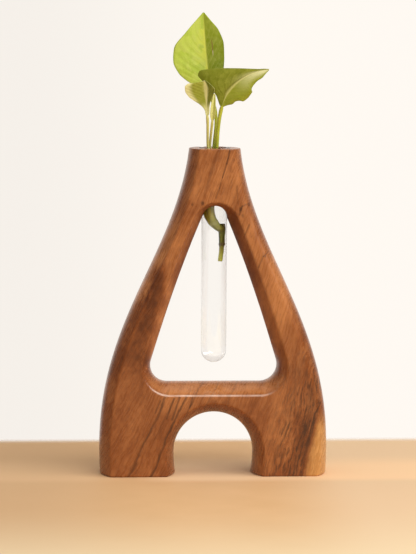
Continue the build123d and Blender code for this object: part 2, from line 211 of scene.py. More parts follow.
# Areas of the wood. Each pair says where an area starts and where it is full. The grain is calmer on the
# left leg; limb_slope makes abs(x) + slope * z nearly the same all along an edge of a limb.
calm_right, calm_height, calm_share = (-34, -50), (85, 60), 0.6
# The sill numbers lighten the top of the sill as painted light from above.
sill_depth, sill_reach, sill_painted_light = (-20.5, -17), (12, 5), 0.17
limb_slope = 0.4
flank_depth = (-20.8, -19)
inner_flank, inner_height, inner_dullness = (97, 93), (75, 100), 0.42
# The shaded numbers darken the upper inner right flank of the opening as painted shade.
shaded_right, shaded_height, shade = (0, 8), (125, 160), 0.14
outer_flank, left_half = (95, 101), (0, -10)
# The lit numbers brighten the outer left flank around its middle as painted light, and the low numbers darken
# it low down as painted shade.
lit_middle, lit_reach, flank_painted_light = 138, (24, 12), 0.34
low_flank, flank_painted_shade = (95, 70), 0.08
sap_across, sap_height, sap_waver = (sapwood_edge - 2.5, sapwood_edge + 3.5), (52, 30), 14
figure_left, figure_right, figure_height = (-142, -112), (sapwood_edge, sapwood_edge - 4), (110, 60)
streak_fade, streak_limit = 7, 0.88
front_half = (0, -12)
# The glint numbers place a painted highlight along the sill's front edge.
glint_front, glint_back = (-21, -20.7), (-19.5, -20.3)
glint_top, glint_foot = (sill_edge + 7, sill_edge), (52, 55)
glint_middle, glint_ends = -5, (50, 34)

# Edges of the soft patches, knots and thin lines: how far noise frets them, and where they start and are
# full as shares of their sizes. A knot is taller than wide.
patch_fret_share, patch_reach_share = 0.6, 1.3
knot_squash, knot_fret, knot_core_share = math.sqrt(0.5), 1.5, 0.2
line_fret, line_reach_share, line_core_share = 1.1, 1.4, 0.3

# Dark streaks in the wood: place across the grain, half width, strength, lowest and highest height
dark_streaks = (
    (-221.8, 1.7, 0.78, -9, 58),
    (-207, 1.5, 0.8, -9, 58),
    (-199.6, 1.3, 0.6, 40, 66),
    (-215.4, 1.5, 0.3, 24, 60),
    (-268, 3.2, 0.3, 202, 240),
    (-105.5, 6.5, 0.42, -9, 66),
    (-100.2, 2.2, 0.55, -9, 52),
    (-120, 4, 0.16, -9, 90),
    (-171, 1.6, 0.3, 50, 74),
    (-186, 1.4, 0.34, 48, 70),
)

# Soft lighter and darker areas of the wood: place to the right, height, both half sizes, strength
soft_patches = (
    (-40, 134, 9, 17, -0.42),
    (-45, 124, 7, 12, -0.25),
    (0, 49, 16, 6, -0.14),
    (-49.5, 112, 9, 18, -0.31),
    (-55, 88, 9, 18, -0.23),
    (-33, 168, 13, 30, 0.24),
    (22, 172, 9, 20, 0.26),
    (28, 157, 7, 14, 0.24),
    (44, 130, 18, 55, 0.35),
    (2, 205, 28, 34, 0.2),
    (4, 61, 50, 13, 0.18),
    (-28, 52, 16, 12, 0.24),
    (16, 212, 9, 18, 0.07),
    (62, 26, 8, 24, -0.32),
    (54, 34, 24, 40, 0.18),
    (-56, 30, 26, 50, 0.08),
    (-33, 130, 5.5, 14, 0.42),
    (-37.5, 110, 5.5, 14, 0.42),
    (-42, 90, 5.5, 14, 0.36),
)

# Thin dark lines in the front face: both ends as place to the right and height, half width, strength
dark_lines = (
    (9, 229.5, 7, 220, 0.55, 0.7),
    (7, 220, 4, 210.5, 0.55, 0.65),
    (4, 210.5, 2, 203, 0.5, 0.55),
    (2, 203, -0.5, 196, 0.45, 0.45),
    (14, 204.5, 15, 192, 0.6, 0.3),
    (22, 192, 18, 190.5, 0.6, 0.35),
    (18, 190.5, 16, 184.5, 0.6, 0.5),
    (23, 177.5, 20, 170.5, 0.6, 0.4),
    (37, 158.5, 33, 155.5, 0.6, 0.5),
    (33, 155.5, 29.5, 147.5, 0.6, 0.5),
    (-25, 56.5, -30, 41, 0.8, 0.6),
    (-29, 55.5, -34, 41.5, 0.7, 0.5),
    (-16, 56, -18, 49, 0.6, 0.5),
    (-38.5, 54, -42, 45.5, 0.7, 0.5),
    (75, 52, 70, 44.5, 0.7, 0.6),
    (70, 44.5, 69, 36.5, 0.7, 0.6),
)

# Pin knots near the front face: place to the right, height, radius, strength
pin_knots = (
    (-9.7, 192.5, 1.7, 0.75),
    (-16.8, 191.6, 1.2, 0.55),
    (16.6, 188.7, 1.5, 0.5),
    (23, 191.3, 1.3, 0.4),
    (18.2, 183.8, 1.4, 0.45),
    (34.4, 155.4, 1.1, 0.6),
    (12, 222.6, 1.3, 0.3),
)


class Value:
    """A number on its way through a material: sums and products of values add Math nodes."""

    def __init__(self, finish, socket):
        self.finish, self.socket = finish, socket

    def __add__(self, other):
        return self.finish.math("ADD", self, other)

    __radd__ = __add__

    def __sub__(self, other):
        return self.finish.math("SUBTRACT", self, other)

    def __rsub__(self, other):
        return self.finish.math("SUBTRACT", other, self)

    def __mul__(self, other):
        return self.finish.math("MULTIPLY", self, other)

    __rmul__ = __mul__

    def __truediv__(self, other):
        return self.finish.math("DIVIDE", self, other)

    def __abs__(self):
        return self.finish.math("ABSOLUTE", self)


class Finish:
    """A material being mixed. node() adds any node; the other methods are short ways to the usual ones."""

    def __init__(self, name, kind="materials"):
        self.block = getattr(bpy.data, kind).new(name)
        self.block.use_nodes = True
        self.tree = self.block.node_tree
        self.tree.nodes.clear()

    def node(self, kind, settings=None, inputs=None, output=0):
        """Adds a node, applies its settings, sets or links its sockets, and returns one of its outputs."""
        node = self.tree.nodes.new("ShaderNode" + kind)
        for key, value in (settings or {}).items():
            if key == "stops":
                elements = node.color_ramp.elements
                while len(elements) < len(value):
                    elements.new(1.0)
                for element, (place, colour) in zip(elements, value):
                    element.position, element.color = place, (*colour, 1.0)
            else:
                setattr(node, key, value)
        for key, value in (inputs or {}).items():
            if isinstance(value, Value):
                self.tree.links.new(value.socket, node.inputs[key])
            else:
                node.inputs[key].default_value = value
        return Value(self, node.outputs[output]) if node.outputs else self

    def math(self, operation, *values):
        """One Math node."""
        return self.node("Math", {"operation": operation}, dict(enumerate(values)))

    def distance(self, one, two):
        """The length of two values at right angles: the root of the sum of their squares."""
        return self.math("SQRT", one * one + two * two)

    def place(self):
        """Object coordinates as three values in millimetres."""
        return [part / to_metres for part in self.parts(self.node("TexCoord", output="Object"))]

    def parts(self, vector):
        """The three values of a vector."""
        outputs = self.node("SeparateXYZ", inputs={0: vector}).socket.node.outputs
        return [Value(self, part) for part in outputs]

    def mark(self, name):
        """A number that the mesh carries at its points."""
        return self.node("Attribute", {"attribute_name": name}, output="Fac")

    def noise(self, place, cells, detail=2.0, roughness=0.5):
        """Noise about 0.5 over three values, with a size of the cells for each."""
        parts = [value / cell for value, cell in zip(place, cells)]
        vector = self.node("CombineXYZ", inputs=dict(enumerate(parts)))
        inputs = {"Vector": vector, "Scale": 1.0, "Detail": detail, "Roughness": roughness}
        return self.node("TexNoise", inputs=inputs)

    def rise(self, value, low, high):
        """0 at low, 1 at high, level beyond them and smooth between. Low may be the larger one."""
        settings = {"interpolation_type": "SMOOTHSTEP"}
        return self.node("MapRange", settings, {"Value": value, "From Min": low, "From Max": high})

    def line(self, value, place, half_width):
        """1 at a place, and 0 from half a width away."""
        return self.rise(abs(value - place), half_width, 0.0)

    def mix(self, share, one, two, way="MIX"):
        """Two colours mixed by a share of the second."""
        settings = {"data_type": "RGBA", "blend_type": way}
        inputs = {0: share}
        for socket, colour in ((6, one), (7, two)):
            inputs[socket] = colour if isinstance(colour, Value) else (*colour, 1.0)
        return self.node("Mix", settings, inputs, output=2)

    def bump(self, height, strength, distance):
        """A bumped normal from a height."""
        return self.node("Bump", inputs={"Height": height, "Strength": strength, "Distance": distance})

    def show(self, shader, kind="Material"):
        """Sends a shader to the output, and returns the finish."""
        return self.node("Output" + kind, inputs={"Surface": shader})

    def coat(self, colour, roughness, shine, normal):
        """A Principled surface, put on show."""
        inputs = {"Base Color": colour, "Roughness": roughness, "Specular IOR Level": shine, "Normal": normal}
        return self.show(self.node("BsdfPrincipled", inputs=inputs))


def wood_tone(wood, place, inside, outside_left, band, fibre, cloud, mottle):
    """How light the wood is: a sum of noises about 0.5, the soft patches, each full at its middle and ragged
    at its edge, painted light on the top of the sill, painted light around the middle of the outer left flank
    and painted shade low on it, and painted shade on the upper inner right flank of the opening."""
    x, y, z = place
    lively = 1 - wood.rise(x, *calm_right) * wood.rise(z, *calm_height) * calm_share
    tone = (band - 0.5) * lively * band_share + (fibre - 0.5) * fibre_share
    tone = tone + (cloud - 0.5) * lively * cloud_share + (mottle - 0.5) * mottle_share + 0.5
    for right, height, half_width, half_height, strength in soft_patches:
        away = wood.distance(x - right, (z - height) * (half_width / half_height))
        ragged = away + (cloud + mottle - 1) * (half_width * patch_fret_share)
        tone = tone + wood.rise(ragged, half_width * patch_reach_share, 0) * strength
    # Painted light on the top of the sill.
    tone = tone + wood.rise(y, *sill_depth) * wood.rise(abs(z - sill_height), *sill_reach) * sill_painted_light
    # Painted light and painted shade on the outer left flank.
    lit = wood.rise(abs(z - lit_middle), *lit_reach) * flank_painted_light
    tone = tone + outside_left * (lit - wood.rise(z, *low_flank) * flank_painted_shade)
    # Painted shade on the upper inner right flank of the opening.
    return tone - inside * wood.rise(x, *shaded_right) * wood.rise(z, *shaded_height) * shade


def wood_streaks(wood, place, across, figure, fibre, fret):
    """How dark the streaks are: rays in the figured right leg and the streaks, broken by the fibres, then on
    the front half the pin knots and thin lines, by the distance from the middle or nearest point."""
    x, y, z = place
    ray = wood.noise((across, y, z), ray_cells)
    streak = wood.rise(ray, 0.47, 0.64) * figure * 0.72
    for middle, half_width, strength, low, high in dark_streaks:
        reach = wood.rise(z, low - streak_fade, low + streak_fade)
        reach = reach * wood.rise(z, high + streak_fade, high - streak_fade)
        streak = streak + wood.line(across, middle, half_width) * reach * strength
    streak = streak * (0.45 + wood.rise(fibre, 0.3, 0.62) * 0.6)
    front = wood.rise(y, *front_half)
    for right, height, radius, strength in pin_knots:
        away = wood.distance(x - right, (z - height) * knot_squash)
        knot = wood.rise(away + (fret - 0.5) * knot_fret, radius, radius * knot_core_share)
        streak = streak + knot * front * strength
    for right, height, right_end, height_end, half_width, strength in dark_lines:
        over, down = right_end - right, height_end - height
        share = ((x - right) * over + (z - height) * down) / (over**2 + down**2)
        share = wood.math("MINIMUM", wood.math("MAXIMUM", share, 0), 1)
        away = wood.distance(x - right - share * over, z - height - share * down)
        edge, core = half_width * line_reach_share, half_width * line_core_share
        streak = streak + wood.rise(away + (fret - 0.5) * line_fret, edge, core) * front * strength
    return wood.math("MINIMUM", streak, streak_limit)


def satin_wood():
    """Reddish-brown wood under satin oil. A grain line is where (x - fan - slant * depth) * exp(turn * z)
    stays the same, so the lines fan out; noise stretched along them gives bands, fibres and pores. Tables
    place the soft patches, dark streaks, thin dark lines and pin knots. The sapwood at the right foot is
    pale, the sill's front edge carries a painted highlight, and the inner faces of the opening are duller."""
    wood = Finish("satin_wood")
    x, y, z = place = wood.place()
    swell = wood.math("EXPONENT", z * (grain_turn * to_metres))
    across = (x - grain_fan - (y - front_face) * grain_slant) * swell
    sway = wood.noise((across, y, z), sway_cells)
    fret = wood.noise((across, y, z), fret_cells, 3.0, 0.6)
    across = across + (sway - 0.5) * sway_reach + (fret - 0.5) * fret_reach
    band = wood.noise((across, y, z), band_cells, 3.0)
    fibre = wood.noise((across, y, z), fibre_cells, 3.0, 0.6)
    fleck = wood.noise((across, y, z), fleck_cells, 1.0)
    cloud = wood.noise(place, cloud_cells, 3.0)
    mottle = wood.noise(place, mottle_cells, 3.0, 0.6)

    flank = wood.rise(y, *flank_depth)
    outward = abs(x) + z * limb_slope
    inside = flank * wood.rise(outward, *inner_flank) * wood.rise(z, *inner_height)
    outside_left = flank * wood.rise(outward, *outer_flank) * wood.rise(x, *left_half)
    tone = wood_tone(wood, place, inside, outside_left, band, fibre, cloud, mottle)
    colour = wood.node("ValToRGB", {"stops": wood_browns}, {0: tone})

    sap = wood.rise(across, *sap_across) * wood.rise(z + (cloud - 0.5) * sap_waver, *sap_height)
    sap_colour = wood.mix(wood.rise(fibre, 0.35, 0.65), sap_deep, sap_pale)
    colour = wood.mix(sap, colour, sap_colour)

    figure = wood.rise(across, *figure_left) * wood.rise(across, *figure_right) * wood.rise(z, *figure_height)
    colour = wood.mix(wood_streaks(wood, place, across, figure, fibre, fret), colour, streak_brown)

    # A painted highlight along the sill's front edge.
    painted_glint = wood.rise(y, *glint_front) * wood.rise(y, *glint_back) * wood.rise(z, *glint_top)
    painted_glint = painted_glint * wood.rise(abs(x - glint_middle), *glint_ends) * wood.rise(z, *glint_foot)
    colour = wood.mix(painted_glint * (0.3 + wood.rise(cloud, 0.35, 0.65) * 0.3), colour, sill_painted_highlight)

    pore = wood.rise(fleck, 0.6, 0.72)
    colour = wood.mix(pore * (0.26 + figure * 0.3), colour, pore_brown)
    roughness = 0.28 + (fibre - 0.5) * 0.16 + pore * 0.14 + inside * inner_dullness
    return wood.coat(colour, roughness, 0.45, wood.bump(fibre * 0.5 - pore * 0.6, 0.07, 0.0003))


def see_through(name, tint, bend, smear_height):
    """A clear body that bends light and lets lamps shine through: Principled transmission, with a
    Transparent surface in its place for shadow rays."""
    clear = Finish(name)
    smear = clear.noise(clear.place(), (7, 7, 22), 3.0)
    inputs = {"Base Color": (*tint, 1.0), "Roughness": 0.0, "IOR": bend, "Transmission Weight": 1.0}
    inputs["Normal"] = clear.bump(smear, smear_height, 0.0002)
    body = clear.node("BsdfPrincipled", inputs=inputs)
    shadow_ray = clear.node("LightPath", output="Is Shadow Ray")
    open_way = clear.node("BsdfTransparent", inputs={"Color": (*tint, 1.0)})
    return clear.show(clear.node("MixShader", inputs={0: shadow_ray, 1: body, 2: open_way}))


def blade_green(name, left, right, vein, rib, edge, extra=None):
    """Leaf skin: a green for each half, mottled with the veins' colour, a midrib and a margin. Across runs
    from -1 at the left margin to 1 at the right one and along from 0 at the foot to 1 at the tip. Side veins
    are where (along - slant * abs(across)) * count is a whole number and a half, and fine ones are three
    times as close."""
    blade = Finish(name)
    across, along = blade.mark("across"), blade.mark("along")
    place = blade.place()
    mottle = blade.noise(place, (4.2, 4.2, 4.2), 3.0, 0.6)
    grain = blade.noise(place, (0.55, 0.55, 0.55))
    out = abs(across)
    step = (along - out * vein_slant + (mottle - 0.5) * vein_sway) * vein_count
    vein_step = blade.math("FRACT", step + steps_above_zero)
    fine_step = blade.math("FRACT", step * fine_veins + (steps_above_zero + fine_shift))
    vein_line = blade.line(vein_step, 0.5, 0.2) * blade.rise(out, 1.0, 0.35)
    fine_line = blade.line(fine_step, 0.5, 0.42) * blade.rise(out, 1.0, 0.2)
    rib_line = blade.rise(out, 0.085, 0.02)
    colour = blade.mix(blade.rise(across, -0.012, 0.012), left, right)
    colour = blade.mix(blade.rise(mottle, 0.35, 0.7) * 0.34, colour, vein)
    colour = blade.mix(vein_line * 0.24 + fine_line * 0.08, colour, vein)
    colour = blade.mix(rib_line * 0.8, colour, rib)
    colour = blade.mix(blade.rise(out, 0.93, 0.995) * 0.6, colour, edge)
    if extra is not None:
        colour = extra(blade, colour, across, along, mottle)
    colour = blade.mix(0.16, colour, blade.node("ValToRGB", {"stops": grain_greys}, {0: grain}), "OVERLAY")
    height = vein_line * -0.5 + fine_line * -0.15 + grain * 0.12 + rib_line * 0.4
    roughness = 0.44 + (mottle - 0.5) * 0.25 + rib_line * 0.08
    return blade.coat(colour, roughness, 0.35, blade.bump(height, 0.35, 0.0003))


def tall_marks(blade, colour, across, along, mottle):
    """Green blotches, a yellow band on the left of the midrib, a right half that is lighter toward the tip,
    and on it a pink-brown scrape, pale at its lower end."""
    blotch_green, band_yellow, tip_green = (0.43, 0.59, 0.035), (0.8, 0.84, 0.1), (0.52, 0.62, 0.05)
    scrape_brown, scrape_pale = (0.36, 0.2, 0.07), (0.72, 0.62, 0.42)
    blotch = blade.noise(blade.place(), (7, 7, 10), 3.0, 0.6)
    left = blade.rise(across, 0.0, -0.03)
    colour = blade.mix(blade.rise(blotch, 0.48, 0.64) * left * 0.5, colour, blotch_green)
    band = blade.rise(across, -0.42, -0.04) * left * blade.rise(blotch + mottle, 1.12, 0.9)
    colour = blade.mix(band * 0.6, colour, band_yellow)
    tip = blade.rise(along, 0.55, 0.95) * blade.rise(across, 0.0, 0.03)
    colour = blade.mix(tip * 0.4, colour, tip_green)
    reach = blade.rise(along, 0.46, 0.52) * blade.rise(along, 0.71, 0.62)
    scrape = blade.line(across + (along - 0.58) * 0.05, 0.382, 0.045) * reach
    scrape_colour = blade.mix(blade.rise(along, 0.555, 0.525), scrape_brown, scrape_pale)
    return blade.mix(scrape, colour, scrape_colour)


def side_painted_sheen(blade, colour, across, along, mottle):
    """A painted sheen, pale along the midrib toward the tip, a dark line of painted shade on its upper side,
    and a fresh yellow-green lower margin."""
    painted_sheen_cream, shade_green, fresh_green = (0.86, 0.84, 0.46), (0.14, 0.125, 0.008), (0.32, 0.31, 0.012)
    # Painted sheen toward the tip.
    sheen = blade.rise(along, 0.3, 0.95) * blade.rise(abs(across - 0.16), 0.75, 0.0)
    colour = blade.mix(sheen * 0.85, colour, painted_sheen_cream)
    # Painted shade: a dark line beside the midrib.
    reach = blade.rise(along, 0.1, 0.25) * blade.rise(along, 0.85, 0.5)
    colour = blade.mix(blade.line(across, -0.075, 0.08) * reach * 0.45, colour, shade_green)
    fresh = blade.rise(across, 0.6, 0.98) * blade.rise(along, 0.7, 0.4)
    return blade.mix(fresh * 0.6, colour, fresh_green)


def young_cream(blade, colour, across, along, mottle):
    """Cream down the middle of the right half, over the left margin and at the foot, where the leaf is not
    yet green."""
    cream_colour = (0.88, 0.85, 0.4)
    shift = (mottle - 0.5) * 0.3
    margin = blade.rise(across + shift * 0.4, -0.58, -0.9) * blade.rise(along, 0.3, 0.5)
    stripe = blade.line(across + shift * 0.5, 0.13, 0.3)
    foot = blade.rise(along, 0.42, 0.12) * 0.75
    cream = blade.math("MAXIMUM", blade.math("MAXIMUM", margin, stripe), foot)
    return blade.mix(cream, colour, cream_colour)


def stalk_green(name, skin_colour, thread_and_shade_colour, streak, foot):
    """Stalk skin: fine lines down its length, a back darkened by painted shade, a streak down one side and a
    greener foot.
    """
    stalk = Finish(name)
    along, facing, beside = stalk.mark("along"), stalk.mark("facing"), stalk.mark("beside")
    place = stalk.place()
    thread = stalk.noise((facing, beside, place[2]), (1 / 3.0, 1 / 3.0, 14), 3.0)
    spot = stalk.noise(place, (1.4, 1.4, 2.6))
    colour = stalk.mix(stalk.rise(thread, 0.36, 0.68), thread_and_shade_colour, skin_colour)
    # Painted shade on the back of the stalk.
    colour = stalk.mix(stalk.rise(facing, 0.2, -0.9) * 0.5, colour, thread_and_shade_colour)
    side_streak = stalk.line(beside, -0.55, 0.4) * stalk.rise(spot, 0.42, 0.62)
    colour = stalk.mix(side_streak * 0.6, colour, streak)
    colour = stalk.mix(stalk.rise(along, 0.62, 0.4) * 0.6, colour, foot)
    return stalk.coat(colour, 0.4 + (spot - 0.5) * 0.2, 0.4, stalk.bump(thread, 0.3, 0.0003))


def vine_bark():
    """Stem skin under water: yellow-green below the scar, dark green above it, a brown ring at the scar, a
    dark upper and a pale lower cut end, and threads down its length."""
    tail_olive, tail_green = (0.25, 0.215, 0.03), (0.46, 0.44, 0.055)
    dark_green, mid_green = (0.075, 0.082, 0.008), (0.24, 0.24, 0.03)
    scar_brown, head_brown, cut_pale = (0.085, 0.05, 0.014), (0.07, 0.06, 0.012), (0.5, 0.44, 0.16)
    bark = Finish("vine_bark")
    facing, beside = bark.mark("facing"), bark.mark("beside")
    place = bark.place()
    thread = bark.noise((facing, beside, place[2]), (1 / 2.2, 1 / 2.2, 9), 3.0)
    spot = bark.noise(place, (1.1, 1.1, 1.8), 3.0)
    height = place[2] + (spot - 0.5) * 2.2
    low = bark.mix(bark.rise(height, vine_scar - 0.6, vine_tail + 1.4), tail_olive, tail_green)
    high = bark.mix(bark.rise(thread, 0.38, 0.64), dark_green, mid_green)
    colour = bark.mix(bark.rise(height, vine_scar - 1.1, vine_scar + 1.9), low, high)
    colour = bark.mix(bark.line(height, vine_scar + 0.2, 2.0) * 0.8, colour, scar_brown)
    colour = bark.mix(bark.rise(height, vine_head - 1.5, vine_head + 0.3) * 0.7, colour, head_brown)
    colour = bark.mix(bark.rise(height, vine_tail + 0.8, vine_tail - 0.4) * 0.6, colour, cut_pale)
    normal = bark.bump(thread * 0.6 + spot * 0.5, 0.5, 0.0004)
    return bark.coat(colour, 0.45 + (spot - 0.5) * 0.3, 0.35, normal)


def shoot_sheath():
    """Shoot skin: paler green to the right as painted light and olive to the left as painted shade, with a
    dark stripe to the left, yellow-green where it leaves the vine, a pale ring, a brown foot and lines down
    its length. The pale green is also brighter than the skin's own colour, painted light that makes up for
    the shade of the collar."""
    painted_shade_olive, painted_light_green, stripe_brown = (0.56, 0.41, 0.035), (0.78, 0.68, 0.12), (0.1, 0.07, 0.012)
    base_green, ring_pale, foot_brown = (0.35, 0.36, 0.035), (0.62, 0.58, 0.22), (0.09, 0.06, 0.014)
    sheath = Finish("shoot_sheath")
    along, facing, beside = sheath.mark("along"), sheath.mark("facing"), sheath.mark("beside")
    place = sheath.place()
    thread = sheath.noise((facing, beside, place[2]), (1 / 2.6, 1 / 2.6, 16), 3.0)
    spot = sheath.noise(place, (1.6, 1.6, 2.2), 3.0)
    # Painted shade at the left and painted light at the right.
    colour = sheath.mix(sheath.rise(beside + (thread - 0.5) * 0.7, -0.35, 0.45), painted_shade_olive, painted_light_green)
    stripe = sheath.line(beside + (thread - 0.5) * 0.5, -0.42, 0.3)
    colour = sheath.mix(stripe * 0.75, colour, stripe_brown)
    colour = sheath.mix(sheath.rise(along, 0.42, 0.2) * 0.75, colour, base_green)
    ring = sheath.line(along + (spot - 0.5) * 0.05, shoot_ring_share, 0.05)
    colour = sheath.mix(ring * 0.5, colour, ring_pale)
    colour = sheath.mix(sheath.rise(along, 0.1, 0.02) * 0.8, colour, foot_brown)
    return sheath.coat(colour, 0.42 + (spot - 0.5) * 0.25, 0.35, sheath.bump(thread, 0.4, 0.0004))


def unit(vectors):
    """Vectors of length one."""
    vectors = np.asarray(vectors, float)
    return vectors / np.linalg.norm(vectors, axis=-1, keepdims=True)


def hump(value, middle, reach):
    """1 at a middle, falling off on both sides as exp(-(distance / reach) ** 2)."""
    return np.exp(-(((value - middle) / reach) ** 2))


def near_end(share, reach):
    """1 at an end, falling off as exp(-share / reach)."""
    return np.exp(-share / reach)


def hermite(knots, values, slopes, places):
    """Cubics between knots that have these values and slopes there."""
    i = np.clip(np.searchsorted(knots, places, "right") - 1, 0, len(knots) - 2)
    gap = knots[i + 1] - knots[i]
    t = (places - knots[i]) / gap
    shape = t.shape + (1,) * (values.ndim - 1)
    t, gap = t.reshape(shape), gap.reshape(shape)
    return (
        (2 * t**3 - 3 * t**2 + 1) * values[i]
        + (t**3 - 2 * t**2 + t) * gap * slopes[i]
        + (3 * t**2 - 2 * t**3) * values[i + 1]
        + (t**3 - t**2) * gap * slopes[i + 1]
    )


def route(points, leave, arrive, steps):
    """A smooth path through points that leaves and arrives in set directions: cubics by chord length whose
    slopes are solved so that the bend runs on through every point."""
    points = np.asarray(points, float)
    chord = np.linalg.norm(np.diff(points, axis=0), axis=1)
    before, after = chord[:-1], chord[1:]
    inner = np.arange(1, len(points) - 1)
    system, wanted = np.eye(len(points)), np.zeros_like(points)
    system[inner, inner - 1] = after
    system[inner, inner] = 2 * (before + after)
    system[inner, inner + 1] = before
    wanted[0], wanted[-1] = unit(leave), unit(arrive)
    legs = np.diff(points, axis=0)
    wanted[1:-1] = 3 * ((after / before)[:, None] * legs[:-1] + (before / after)[:, None] * legs[1:])
    knots = np.concatenate([[0], np.cumsum(chord)])
    return hermite(knots, points, np.linalg.solve(system, wanted), np.linspace(0, knots[-1], steps))


def run(stations_and_shares, places):
    """A share along a leaf: cubics between stations, each slope the harmonic mean of the rises beside it, or
    level where they turn."""
    knots, values = (np.asarray(row, float) for row in stations_and_shares)
    rise = np.diff(values) / np.diff(knots)
    same_way = rise[:-1] * rise[1:] > 0
    mean = 2 * rise[:-1] * rise[1:] / np.where(same_way, rise[:-1] + rise[1:], 1)
    slopes = np.concatenate([rise[:1], np.where(same_way, mean, 0), rise[-1:]])
    return hermite(knots, values, slopes, places)


def put(name, data):
    """A new object in the scene."""
    thing = bpy.data.objects.new(name, data)
    bpy.context.scene.collection.objects.link(thing)
    return thing


def skin(name, rings, finish, marks=None, sharp=40):
    """A closed skin over rows of section points: each row joins the next round the section, each end is
    drawn to the middle of its row, and the faces are turned so that the volume is positive."""
    rows, columns = rings.shape[:2]
    points = np.vstack([rings.reshape(-1, 3), rings[0].mean(0), rings[-1].mean(0)])
    row, column = np.meshgrid(np.arange(rows - 1) * columns, np.arange(columns), indexing="ij")
    after = (column + 1) % columns
    corners = [row + column, row + after, row + columns + after, row + columns + column]
    quads = np.stack(corners, -1).reshape(-1, 4)
    column = np.arange(columns)
    after = (column + 1) % columns
    foot = np.stack([after, column, np.full(columns, rows * columns)], -1)
    top = (rows - 1) * columns + np.stack([column, after, np.full(columns, columns + 1)], -1)
    triangles = np.vstack([quads[:, :3], quads[:, [0, 2, 3]], foot, top])
    a, b, c = (points[triangles[:, i]] for i in range(3))
    if (a * np.cross(b, c)).sum() < 0:
        quads, foot, top = quads[:, ::-1], foot[:, ::-1], top[:, ::-1]
    mesh = bpy.data.meshes.new(name)
    mesh.from_pydata((points * to_metres).tolist(), [], quads.tolist() + foot.tolist() + top.tolist())
    mesh.shade_smooth()
    mesh.set_sharp_from_angle(angle=math.radians(sharp))
    for key, values in (marks or {}).items():
        values = np.broadcast_to(values, (rows, columns))
        values = np.concatenate([values.ravel(), [values[0].mean(), values[-1].mean()]])
        mesh.attributes.new(key, "FLOAT", "POINT").data.foreach_set("value", values.astype(np.float32))
    mesh.materials.append(finish.block)
    return put(name, mesh)


def dress(piece, body, node):
    """Puts a piece on its body in place of a CAD node, which it hides."""
    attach(piece, body)
    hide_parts(node)


def turned(profile):
    """A profile of radius and height turned about the tube's axis."""
    radius, height = np.asarray(profile, float).T
    angle = np.linspace(0, 2 * np.pi, around_steps, endpoint=False)
    level = np.broadcast_to(height[:, None], (len(height), around_steps))
    return np.stack([radius[:, None] * np.cos(angle), radius[:, None] * np.sin(angle), level], -1)


def arc(centre, radius, start, end, steps):
    """Points of radius and height on an arc between two angles."""
    angle = np.radians(np.linspace(start, end, steps))
    return np.stack([centre[0] + radius * np.cos(angle), centre[1] + radius * np.sin(angle)], -1)


def wall(radius, start, end, steps):
    """Points of radius and height on a straight wall between two heights."""
    return np.stack([np.full(steps, radius), np.linspace(start, end, steps)], -1)


def glass_tube():
    """The tube's wall turned about its axis: up the outside from the round bottom, out and over the rolled
    rim, and down the inside."""
    lip = (rim_top - rim_seat - rim_lift) / 2
    profile = np.vstack(
        [
            arc((0, dome_height), tube_radius, dome_end, 0, dome_steps),
            wall(tube_radius, wall_foot, rim_seat - under_rim_clear, wall_steps),
            arc((tube_radius + under_rim_fillet, rim_seat - under_rim_drop), under_rim_fillet, 180, 95, 7),
            arc((rim_radius - lip, rim_seat + rim_lift + lip), lip, -80, 100, 14),
            arc((tube_inner_radius + mouth_fillet, rim_top - mouth_drop), mouth_fillet, 100, 180, 9),
            wall(tube_inner_radius, rim_seat - mouth_depth, wall_foot, wall_steps),
            arc((0, dome_height), tube_inner_radius, 0, dome_end, dome_steps),
        ]
    )
    finish = see_through("clear_glass", glass_tint, glass_bend, glass_smear)
    dress(skin("glass_tube", turned(profile), finish), "tube", "test_tube")


def tube_water():
    """Water turned about the tube's axis: the round bottom, the wall, and a surface that climbs the glass as
    rise * exp(-gap / rise)."""
    radius = tube_inner_radius + water_overlap
    out = radius * np.linspace(1, water_middle_share, surface_steps) ** 0.5
    surface = np.stack([out, water_level + meniscus_rise * np.exp(-(radius - out) / meniscus_rise)], -1)
    dome = arc((0, dome_height), radius, dome_end, 0, dome_steps)
    side_wall = wall(radius, wall_foot, water_level - water_wall_gap, water_wall_steps)
    finish = see_through("still_water", water_tint, water_bend, water_smear)
    piece = skin("tube_water", turned(np.vstack([dome, side_wall, surface])), finish)
    dress(piece, "tube", "water")


def stem_rings(path, radius, around, relief):
    """Rings round a path, square to it: centre + radius * (1 + relief) * (cos * across + sin * depth).
    Across is square to the path and level, depth is square to both. Also the marks along, facing and
    beside."""
    ahead = unit(np.gradient(path, axis=0))
    across = unit(np.cross((0.0, 1.0, 0.0), ahead))
    depth = np.cross(ahead, across)
    angle = np.linspace(0, 2 * np.pi, around, endpoint=False)
    share = np.linspace(0, 1, len(path))[:, None]
    reach = radius[:, None] * (1 + relief(share, angle))
    rings = (
        path[:, None]
        + (reach * np.cos(angle))[..., None] * across[:, None]
        + (reach * np.sin(angle))[..., None] * depth[:, None]
    )
    marks = {"along": share, "facing": -np.sin(angle)[None], "beside": np.cos(angle)[None]}
    return rings, marks


def vine_ridges(share, angle):
    """Five soft ridges and nine finer ones, all winding a little."""
    return 0.035 * np.cos(5 * angle + 3 * share) + 0.02 * np.sin(9 * angle + 25 * share)


